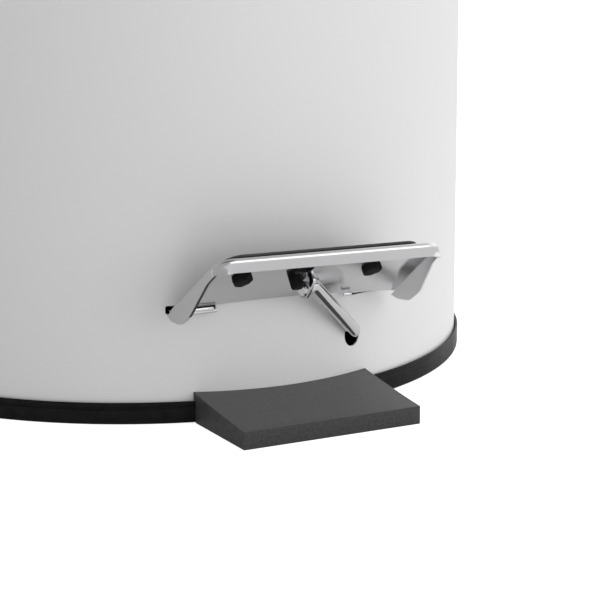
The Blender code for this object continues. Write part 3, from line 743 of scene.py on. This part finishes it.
def ear_bottom(up):
    """Lowest point of an ear at this distance up the plate."""
    up = max(up, EAR_START)
    crossings = []
    for i, point in enumerate(EAR_PATH):
        after = EAR_PATH[(i + 1) % len(EAR_PATH)]
        low, high = sorted((point, after), key=lambda p: p.x)
        if low.x <= up <= high.x and high.x - low.x > 1e-9:
            crossings.append(low.y + (high.y - low.y) * (up - low.x) / (high.x - low.x))
    return min(crossings)


def plate_path():
    """Samples round the plate's edge: (place, outward) in the plate's plane, left to right."""
    spacing = 0.0007
    lean = (HALF_INNER - HALF_OUTER) / OUTER_EDGE
    foot_x = HALF_INNER - lean * EAR_START
    corners = [
        (-foot_x, EAR_START, 0), (-HALF_OUTER, OUTER_EDGE, 0),
        (HALF_OUTER, OUTER_EDGE, 0), (foot_x, EAR_START, 0),
    ]
    path = rounded(corners, CORNER, steps=14)
    dense = []
    for here, there in zip(path, path[1:]):
        count = max(1, round((there - here).length / spacing))
        dense += [here.lerp(there, i / count) for i in range(count)]
    dense.append(path[-1])
    samples = []
    for i, point in enumerate(dense):
        along = (dense[min(i + 1, len(dense) - 1)] - dense[max(i - 1, 0)]).normalized()
        samples.append((point, Vector((-along.y, along.x, 0))))
    return samples


def flange(point, outward):
    """Bend angle of the flange at this sample of the plate's edge, and its length below it."""
    side = 1 if point.x > 0 else -1
    front = min(1.0, max(0.0, (outward.y - FACING_EAR) / (1 - FACING_EAR)))
    angle = EAR_BENDS[side] + (math.pi / 2 + PEDAL_TILT - EAR_BENDS[side]) * front
    if outward.y < FACING_STRIP:
        bottom = ear_bottom(point.y) * EAR_DEPTHS[side]
        fall = PLATE_MIDDLE - BEND * (1 - math.cos(angle)) - bottom
        return angle, max(fall / math.sin(angle), 0.0001)
    return angle, STRIP_DROP


def flange_column(point, outward, bend_steps, drop_steps):
    """Points down the flange from a sample of the edge.

    The bend is left out where an ear runs on past the plate's inner edge.
    """
    angle, length = flange(point, outward)
    column = []
    for k in range(bend_steps + 1):
        turn = angle * k / bend_steps
        out = BEND * math.sin(turn) - BEND
        down = PLATE_MIDDLE - BEND * (1 - math.cos(turn))
        column.append(point + outward * out + Vector((0, 0, down)))
    start = column[bend_steps]
    drop = outward * math.cos(angle) + Vector((0, 0, -math.sin(angle)))
    column += [start + drop * length * k / drop_steps for k in range(1, drop_steps + 1)]
    if point.y < inner_edge(point.x):
        column[:bend_steps] = [None] * bend_steps
    return column


def pedal_sheet(shape):
    """The plate's middle surface: flat top, strip wrapped round the corners, and side ears."""
    bend_steps, drop_steps = 6, 4
    columns = []
    for point, outward in plate_path():
        column = flange_column(point, outward, bend_steps, drop_steps)
        columns.append([
            None if p is None else shape.verts.new((p.x, -p.y, p.z)) for p in column
        ])
    for here, there in zip(columns, columns[1:]):
        for k in range(bend_steps + drop_steps):
            corners = (here[k], here[k + 1], there[k + 1], there[k])
            if None not in corners:
                shape.faces.new(corners)
    rim = [column[0] for column in columns if column[0] is not None]
    half = rim[-1].co.x
    steps = 24
    inner = [
        shape.verts.new((x, -inner_edge(x), PLATE_MIDDLE))
        for x in (half - 2 * half * i / steps for i in range(1, steps))
    ]
    shape.faces.new(rim + inner)


def pedal_plate():
    """The pressed plate, with its thickness, its window and the holes for the plugs."""
    plate = add("pedal_pressing", mesh_of("pedal_pressing", pedal_sheet))
    plate.data.shade_smooth()
    thick = plate.modifiers.new("sheet", "SOLIDIFY")
    thick.thickness = PLATE
    thick.offset = 0
    settle(plate)
    low, high = -0.01, 0.005
    window = rounded([(*p, 0) for p in WINDOW], 0.0012, closed=True)
    cutters = [slab("window", window, low, high)]
    for x, up, radius, _ in PLUGS.values():
        cutters.append(rod("plug_hole", (x, -up, low), (x, -up, high), radius))
    cut(plate, *cutters)
    soften(plate, 0.00048, 3, 55)
    plate.data.transform(PEDAL_FRAME)
    finish_piece(plate, CHROME, "pedal", "chrome", "pedal_plate", angle=38)
    flat = plate.modifiers.new("flat_faces_stay_flat", "WEIGHTED_NORMAL")
    flat.keep_sharp = True
    settle(plate)


def pedal_tab():
    """The tab punched down from the plate, with the hole for the wire's hook."""
    place = -0.0010
    corners = [
        (0.0165, -0.0026, 0), (0.0308, -0.0026, 0), (0.0306, -0.0070, 0),
        (0.0258, -0.0092, 0), (0.0205, -0.0106, 0), (0.0162, -0.0078, 0),
    ]
    outline = rounded(corners, [0.0004, 0.0004, 0.0022, 0.0030, 0.0030, 0.0012], closed=True)
    on_edge = Matrix(((0, 0, 1, 0), (-1, 0, 0, 0), (0, 1, 0, 0), (0, 0, 0, 1)))
    matrix = PEDAL_FRAME @ Matrix.Translation((place, 0, 0)) @ on_edge
    tab = slab("pedal_tab", outline, -PLATE / 2, PLATE / 2, matrix)
    start = PEDAL_FRAME.inverted() @ HOOK_END
    end = PEDAL_FRAME.inverted() @ HOOK
    hook = start.lerp(end, (place - start.x) / (end.x - start.x))
    hole = rod("hole", (-0.01, 0, 0), (0.01, 0, 0), WIRE + 0.00025)
    hole.data.transform(PEDAL_FRAME @ Matrix.Translation((0, hook.y, hook.z)))
    cut(tab, hole)
    soften(tab, 0.00025, 2, 50)
    finish_piece(tab, CHROME, "pedal", "chrome")


def pedal_tongues():
    """The two tongues that hang the pedal in the body's slots, each with its upright root."""
    back = -0.1310
    left, right = 0.0469, 0.0475
    boxes = {
        "pedal_tongue_left": ((-0.0500, -0.1462, left), (-0.0318, back, left + PLATE)),
        "pedal_tongue_root_left": ((-0.0460, -0.1468, 0.0479), (-0.0338, -0.1457, 0.0494)),
        "pedal_tongue_right": ((0.0318, -0.1450, right), (0.0485, back, right + PLATE)),
        "pedal_tongue_root_right": ((0.0257, -0.1482, 0.0474), (0.0298, -0.1471, 0.0487)),
    }
    for name, (low, high) in boxes.items():
        tongue = block(name, low, high)
        soften(tongue, 0.0003, 2, 50)
        finish_piece(tongue, CHROME, "pedal", "chrome")


def pedal_pad():
    """The rubber tread: a rounded sheet with ribs along it."""
    low, high = -0.0092, 0.0010 - OUTER_EDGE
    left, right = -0.0470, 0.0434
    outline = [(left, low, 0), (right, low, 0), (right, high, 0), (left, high, 0)]
    outline = rounded(outline, [0.002, 0.002, 0.0075, 0.0075], closed=True, steps=8)
    pad = slab("tread_pad", outline, PAD_BOTTOM, PAD_BOTTOM + 0.0015)
    soften(pad, 0.0004, 3, 40)
    half_length, half_width = 0.042, 0.0009
    ribs = []
    for number in range(9):
        middle = -0.0125 - number * 0.0038
        rib = [(x, middle + y, 0) for x, y in (
            (-half_length, -half_width), (half_length, -half_width),
            (half_length, half_width), (-half_length, half_width),
        )]
        rib = rounded(rib, 0.00085, closed=True, steps=4)
        ribs.append(slab("rib", rib, PAD_BOTTOM + 0.0010, PAD_BOTTOM + 0.0020))
    join(pad, *ribs)
    pad.data.transform(PEDAL_FRAME)
    finish_piece(pad, RUBBER, "pedal", "rubber", "pedal_pad")


def tread_plugs():
    """The tread's three plugs through the plate, squashed a little out of round."""
    steps = 40
    for name, (x, up, size, reach) in PLUGS.items():
        outline = []
        for angle in (math.tau * k / steps for k in range(steps)):
            squash = 0.00030 * math.sin(3 * angle + x * 90)
            tear = 0.00016 * math.sin(7 * angle + x * 210)
            radius = size + squash + tear
            outline.append((x + radius * math.cos(angle), -up + radius * math.sin(angle)))
        plug = slab(name, outline, PLATE_MIDDLE - PLATE / 2 - reach, PAD_BOTTOM - 0.0001)
        soften(plug, 0.0009, 4, 60)
        plug.data.transform(PEDAL_FRAME)
        finish_piece(plug, PLUG, "pedal", "rubber", angle=60)


# Lever

def lever_rod():
    """The chromed wire: hook, slanting run, cross run and rear leg."""
    run = ROD_BEND.x - 0.002
    inside = -0.128
    path = rounded(
        [
            HOOK_END, HOOK, ROD_BEND, (run, inside, FULCRUM.z), (run, FULCRUM.y, FULCRUM.z),
            FULCRUM, (0, LEVER_END, FULCRUM.z - 0.0006),
        ],
        [0, 0.0036, 0.0034, 0.006, 0.006, 0.006, 0], steps=12,
    )
    wire = tube_path("lever_wire", path, WIRE, 36, 0.0007)
    finish_piece(wire, CHROME, "lever", "chrome", "lever_rod")


def fulcrum_saddles():
    """The two bored posts on the base that carry the lever's cross run."""
    for name in ("fulcrum_saddle_inner", "fulcrum_saddle_outer"):
        low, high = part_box(name)
        middle = (low.x + high.x) / 2
        outline = [(low.x, low.y, 0), (high.x, low.y, 0), (high.x, high.y, 0), (low.x, high.y, 0)]
        saddle = slab(name + "_base", rounded(outline, 0.002, closed=True), low.z, low.z + 0.002)
        head = arc(0.0065, 0, 180, 24, (0, FULCRUM.z))
        post = [(0.0075, low.z + 0.001), *head, (-0.0075, low.z + 0.001)]
        upright = Matrix.Translation((middle, FULCRUM.y, 0)) @ FACING_SIDE
        join(saddle, slab(name + "_post", post, -0.003, 0.003, upright))
        start = (middle - 0.01, FULCRUM.y, FULCRUM.z)
        end = (middle + 0.01, FULCRUM.y, FULCRUM.z)
        cut(saddle, rod("bore", start, end, WIRE + 0.0003))
        soften(saddle, 0.0004, 2, 45)
        finish_piece(saddle, BLACK, "body", "black_plastic", name)


# Fasteners, each at the place of its CAD node

def along(node, axis):
    """The CAD node's centre, and its reach along an axis either way from there."""
    low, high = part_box(node)
    centre = (low + high) / 2
    reach = [(v.co - centre).dot(axis) for v in frame["nodes"][node].data.vertices]
    return centre, min(reach), max(reach)


def rivet(node, axis, body):
    """A round-headed rivet with its outer head domed and its tail set flat."""
    centre, low, high = along(node, axis)
    head, shank, rise = 0.00285, 0.0015, 0.0012
    steps = 8
    quarter = [math.pi / 2 * k / steps for k in range(steps + 1)]
    dome = [(head * math.sin(a), high - rise + rise * math.cos(a)) for a in quarter]
    tail = [(shank, high - rise), (shank, low + 0.0009), (head - 0.0003, low + 0.0009),
            (head, low + 0.0006), (head - 0.0003, low), (0, low)]
    piece = lathe(node + "_round", dome + tail, pointing(centre, axis), 40)
    finish_piece(piece, ZINC, body, "zinc_steel", node)


def rivets():
    nodes = [f"guide_rivet_{level}_{side}" for level in ("lower", "upper")
             for side in ("left", "right")]
    for node in nodes + ["hinge_rivet_left", "hinge_rivet_right"]:
        low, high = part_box(node)
        centre = (low + high) / 2
        rivet(node, Vector((centre.x, centre.y, 0)).normalized(), "body")
    for node in ("lid_rivet_left", "lid_rivet_right"):
        rivet(node, Vector((0, 1, 0)), "lid")


def screw(node, axis):
    """A pan-head screw with a cross recess and a coarse thread."""
    centre, low, high = along(node, axis)
    head, rise, pitch = 0.0031, 0.0014, 0.0007
    crest, root = 0.0015, 0.0012
    steps = 10
    crown = [(head * math.sin(a), high - rise + rise * math.cos(a) ** 0.6)
             for a in (math.pi / 2 * k / steps for k in range(steps))]
    under = high - rise
    turns = max(2, round((under - low) / pitch))
    step = (under - low) / turns
    thread = []
    for k in range(turns):
        top = under - (under - low) * k / turns
        thread += [(root, top - 0.0001), (crest, top - step * 0.5)]
    profile = crown + [(head, under), *thread, (0.0010, low), (0, low)]
    turn = pointing(centre, axis)
    piece = lathe(node + "_threaded", profile, turn, 40)
    for wide, deep in ((0.0017, 0.0003), (0.0003, 0.0017)):
        cut(piece, block("recess", (-wide, -deep, high - 0.0008), (wide, deep, high + 0.001), turn))
    finish_piece(piece, ZINC, "body", "zinc_steel", node)


def screws():
    for side in ("left", "right"):
        screw(f"foot_screw_{side}", Vector((0, 0, -1)))
    for side in ("inner", "outer"):
        for number in (1, 2):
            screw(f"saddle_screw_{side}_{number}", Vector((0, 0, 1)))


# Lift rod and hinge

def push_rod():
    """The upright rod, with a flat pad turned on each end."""
    low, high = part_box("push_rod")
    bottom, top = low.z, high.z
    pad, bar = 0.0030, 0.0025
    upper = [(0, top), (pad - 0.0006, top), (pad - 0.0002, top - 0.0002), (pad, top - 0.0006),
             (pad, top - 0.0040), (bar, top - 0.0048)]
    lower = [(r, bottom + top - z) for r, z in reversed(upper)]
    piece = lathe("push_rod_bar", upper + lower, Matrix.Translation((0, LIFT_ROD_Y, 0)), 48)
    finish_piece(piece, ZINC, "lift_rod", "zinc_steel", "push_rod")


def push_rod_guides():
    """The two bored blocks on the inside of the body's wall."""
    wall_radius, bore_radius = 0.1445, 0.0029
    for node in ("push_rod_guide_lower", "push_rod_guide_upper"):
        low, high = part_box(node)
        bottom, top = low.z - 0.01, high.z + 0.01
        guide = block(node + "_block", low, (high.x, 0.150, high.z))
        combine(guide, "INTERSECT", rod("wall", (0, 0, bottom), (0, 0, top), wall_radius, 360))
        cut(guide, rod("bore", (0, LIFT_ROD_Y, bottom), (0, LIFT_ROD_Y, top), bore_radius))
        soften(guide, 0.0006, 3, 45)
        finish_piece(guide, BLACK, "body", "black_plastic", node)


def hinge_bore():
    """The cutter for the pin's hole."""
    return rod("bore", (-0.03, HINGE.y, HINGE.z), (0.03, HINGE.y, HINGE.z), 0.0024)


def hinge_bracket():
    """The curved plate with two cheeks, pressed from steel, edges rounded."""
    outer, inner = 0.14795, 0.14640
    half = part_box("hinge_bracket")[1].x
    steps = 24
    bow = [math.asin(half / outer) * (1 - 2 * k / steps) for k in range(steps + 1)]
    plate = [(outer * math.sin(a), outer * math.cos(a)) for a in bow]
    plate += [(inner * math.sin(a), inner * math.cos(a)) for a in reversed(bow)]
    bracket = slab("bracket_plate", plate, 0.366, 0.4026)
    cut(bracket, block("window", (-0.007, 0.13, 0.385), (0.007, 0.16, 0.42)))
    eye = 0.0066
    cheek = [(-0.0108, -0.0110), *arc(eye, -90, 90, 24), (-eye, 0.0040), (-0.0108, -0.0006)]
    for side in (-1, 1):
        upright = Matrix.Translation((side * 0.0096, HINGE.y, HINGE.z)) @ FACING_SIDE
        join(bracket, slab("cheek", cheek, -0.001, 0.001, upright))
    cut(bracket, hinge_bore())
    soften(bracket, 0.0003, 2, 45)
    finish_piece(bracket, ZINC, "body", "zinc_steel", "hinge_bracket")


def hinge_pin():
    """The pin, with a domed head on each end."""
    half = 0.0110
    shank, head = 0.0020, 0.0032
    end = [(0, half + 0.0015), (0.0024, half + 0.0015), (0.0030, half + 0.0011),
           (head, half + 0.0006), (head, half), (shank, half)]
    profile = end + [(r, -z) for r, z in reversed(end)]
    turn = Matrix.Translation(HINGE) @ Matrix.Rotation(math.pi / 2, 4, "Y")
    piece = lathe("hinge_pin_bar", profile, turn, 48)
    finish_piece(piece, ZINC, "body", "zinc_steel", "hinge_pin")


def hinge_arm():
    """Strap, neck, rolled knuckle and the finger that the lift rod pushes."""
    strap = [(-0.014, 0.4130, 0), (0.014, 0.4130, 0), (0.014, 0.4272, 0), (-0.014, 0.4272, 0)]
    neck = [(-0.0075, 0.4035, 0), (0.0075, 0.4035, 0), (0.0075, 0.4145, 0), (-0.0075, 0.4145, 0)]
    arm = slab("arm_strap", rounded(strap, 0.003, closed=True), 0.1500, 0.1518, FACING_FRONT)
    knuckle = rod("knuckle", (-0.008, HINGE.y, HINGE.z), (0.008, HINGE.y, HINGE.z), 0.0065, 64)
    tip = arc(0.0025, 90, 270, 8, (-0.0185, 0))
    root = arc(0.0021, 270, 450, 8, (-0.0030, 0))
    turn = Matrix.Translation(HINGE) @ Matrix.Rotation(math.radians(40), 4, "X")
    join(arm, slab("arm_neck", neck, 0.1500, 0.1530, FACING_FRONT), knuckle,
         slab("arm_finger", tip + root, -0.0045, 0.0045, turn @ FACING_SIDE))
    cut(arm, hinge_bore())
    soften(arm, 0.0004, 2, 45)
    finish_piece(arm, ZINC, "lid", "zinc_steel", "lid_hinge_arm")


# Lid, collar and bucket

def lid_shell():
    """The painted lid: low dome, rolled shoulder and a skirt with a hemmed edge."""
    corner, crown = 0.008, 0.016
    steps = 20
    shoulder = LID_TOP - crown
    flat_radius = LID_RADIUS - corner

    def wall(inset):
        dome = [(flat_radius * k / steps, LID_TOP - inset - crown * (k / steps) ** 2)
                for k in range(steps)]
        return dome + arc(corner - inset, 78, 0, 12, (flat_radius, shoulder - corner))

    low = LID_BOTTOM
    hem = [(LID_RADIUS, low + 0.0004), (LID_RADIUS - 0.0003, low), (LID_RADIUS - SHEET, low),
           (LID_RADIUS - SHEET, low + 0.0004)]
    shell = lathe("lid_cover", wall(0) + hem + wall(SHEET)[::-1])
    finish_piece(shell, WHITE, "lid", "white_paint", "lid_shell")


def lid_liner():
    """The black ring inside the skirt, with a lip turned in at its lower edge."""
    low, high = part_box("lid_liner")
    outer = high.x
    inner = outer - 0.0018
    lip = 0.138
    profile = rounded(
        [(inner, high.z, 0), (outer, high.z, 0), (outer, low.z, 0), (lip, low.z, 0),
         (lip, low.z + 0.002, 0), (inner, low.z + 0.002, 0)],
        [0.0005, 0.0005, 0.0006, 0.0008, 0.0006, 0.0008], closed=True,
    )
    liner = lathe("lid_inner_ring", [(p.x, p.y) for p in profile])
    finish_piece(liner, BLACK, "lid", "black_plastic", "lid_liner")


def lid_bumpers():
    for number in (1, 2, 3):
        node = f"lid_bumper_{number}"
        low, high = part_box(node)
        middle = (low + high) / 2
        radius = (high.x - low.x) / 2
        tall = (high.z - low.z) / 2
        profile = [(0, tall), (radius, tall), (radius, -tall + 0.0009),
                   (radius - 0.0003, -tall + 0.0003), (radius - 0.0009, -tall), (0, -tall)]
        bumper = lathe(node + "_pad", profile, Matrix.Translation(middle), 48)
        finish_piece(bumper, RUBBER, "lid", "rubber", node)


def rim_collar():
    """The plastic ring on the body's top edge, with the ledge under the bucket's flange."""
    inside = BODY_RADIUS - SHEET - SHELL_GAP
    outside = BODY_RADIUS + SHELL_GAP
    groove_top = BODY_TOP + 0.0003
    top, skirt, ledge, bottom = COLLAR_TOP, COLLAR_TOP - 0.006, 0.4005, 0.398
    corners = [
        (0.1415, top), (0.1470, top), (0.1470, skirt), (outside, skirt), (outside, groove_top),
        (inside, groove_top), (inside, bottom), (0.1335, bottom), (0.1335, ledge),
        (0.1415, ledge),
    ]
    radii = [0.0008, 0.0014, 0.0002, 0.0001, 0.0001, 0.0001, 0.0004, 0.0006, 0.0006, 0.0006]
    profile = rounded([(*c, 0) for c in corners], radii, closed=True)
    collar = lathe("top_collar", [(p.x, p.y) for p in profile])
    cut(collar, block("notch", (-0.010, 0.12, 0.39), (0.010, 0.16, 0.42)))
    finish_piece(collar, BLACK, "body", "black_plastic", "rim_collar")


def inner_bucket():
    """The lift-out bucket: flange, finger notch, rear notch and two lugs."""
    top = 0.4028
    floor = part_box("inner_bucket")[0].z
    flange = 0.1398
    corners = [
        (0, floor + 0.002), (0.1160, floor + 0.002), (0.1298, top), (flange, top),
        (flange, top - 0.0018), (0.1318, top - 0.0018), (0.1180, floor), (0, floor),
    ]
    radii = [0, 0.005, 0.0012, 0.0006, 0.0006, 0.0008, 0.006, 0]
    profile = rounded([(*c, 0) for c in corners], radii, steps=6)
    bucket = lathe("bucket_pail", [(p.x, p.y) for p in profile])
    cut(bucket, block("rod_notch", (-0.009, 0.1345, 0.39), (0.009, 0.16, 0.42)),
        block("finger_notch", (-0.036, -0.16, 0.4005), (0.036, -0.1265, 0.42)))
    lug = [(-0.005, 0.4015), (0.005, 0.4015), *arc(0.005, 0, 180, 16, (0, 0.4045))]
    for side in (-1, 1):
        upright = Matrix.Translation((side * 0.1314, 0, 0)) @ FACING_SIDE
        join(bucket, slab("lug", lug, -0.0014, 0.0014, upright))
        start = (side * 0.125, 0, HANDLE_HEIGHT)
        end = (side * 0.14, 0, HANDLE_HEIGHT)
        cut(bucket, rod("eye", start, end, 0.0024))
    finish_piece(bucket, BUCKET, "body", "bucket_plastic", "inner_bucket")


def handle_arc(start, end, steps):
    """Points along the folded handle, between two angles from the front, in degrees."""
    path = arc(HANDLE_RADIUS, start - 90, end - 90, steps)
    return [Vector((x, y, HANDLE_HEIGHT)) for x, y in path]


def bucket_handle():
    """The wire bail folded down on the flange, its ends turned in through the lugs."""
    bend, reach = 0.003, 0.0075
    turn_in = arc(bend, 0, 90, 8, (HANDLE_RADIUS - bend, -bend))[1:]
    right = [Vector((x, y, HANDLE_HEIGHT)) for x, y in turn_in]
    right.append(Vector((HANDLE_RADIUS - reach, 0, HANDLE_HEIGHT)))
    left = [Vector((-p.x, p.y, p.z)) for p in reversed(right)]
    wire = tube_path("bail", left + handle_arc(-88, 88, 120) + right, 0.002, 24, 0.0003)
    finish_piece(wire, ZINC, "body", "zinc_steel", "bucket_handle")


def handle_grip():
    """The moulded grip on the handle, waisted between finger ridges."""
    radius, ridge, ridges = 0.0038, 0.0004, 6
    rounded_share = 1 / 28
    sides = 32
    path = handle_arc(-12, 12, 96)

    def size_at(share):
        """The grip's radius at this share of its length, with rounded ends."""
        near_end = min(1.0, min(share, 1 - share) / rounded_share)
        size = radius + ridge * math.cos(math.tau * ridges * share)
        return size * (0.80 + 0.20 * math.sin(near_end * math.pi / 2))

    rings = []
    for i, point in enumerate(path):
        out = Vector((point.x, point.y, 0)).normalized()
        rings.append((point, out, Vector((0, 0, 1)), size_at(i / (len(path) - 1))))
    grip = add("bail_grip", mesh_of("bail_grip", lambda shape: skin(shape, rings, sides)))
    cut(grip, tube_path("grip_bore", handle_arc(-16, 16, 60), 0.00235, 24))
    finish_piece(grip, BLACK, "body", "black_plastic", "handle_grip")


bpy.context.scene.view_settings.view_transform = "Standard"
add_camera()
add_world()
add_softbox()
add_floor()
WHITE = white_paint()
BLACK = black_plastic()
BASE = base_plastic()
FOOT = foot_plastic()
RUBBER = rubber()
PLUG = rubber("plug_rubber", top_lit=False)
CHROME = chrome()
ZINC = zinc_steel()
BUCKET = black_plastic("bucket_plastic", (0.045, 0.046, 0.05), 0.38, 0.5)
for make in (
    body_shell, base_ring, foot, pedal_plate, pedal_tab, pedal_tongues, pedal_pad, tread_plugs,
    lever_rod, fulcrum_saddles, rivets, screws, push_rod, push_rod_guides, hinge_bracket,
    hinge_pin, hinge_arm, lid_shell, lid_liner, lid_bumpers, rim_collar, inner_bucket,
    bucket_handle, handle_grip,
):
    make()
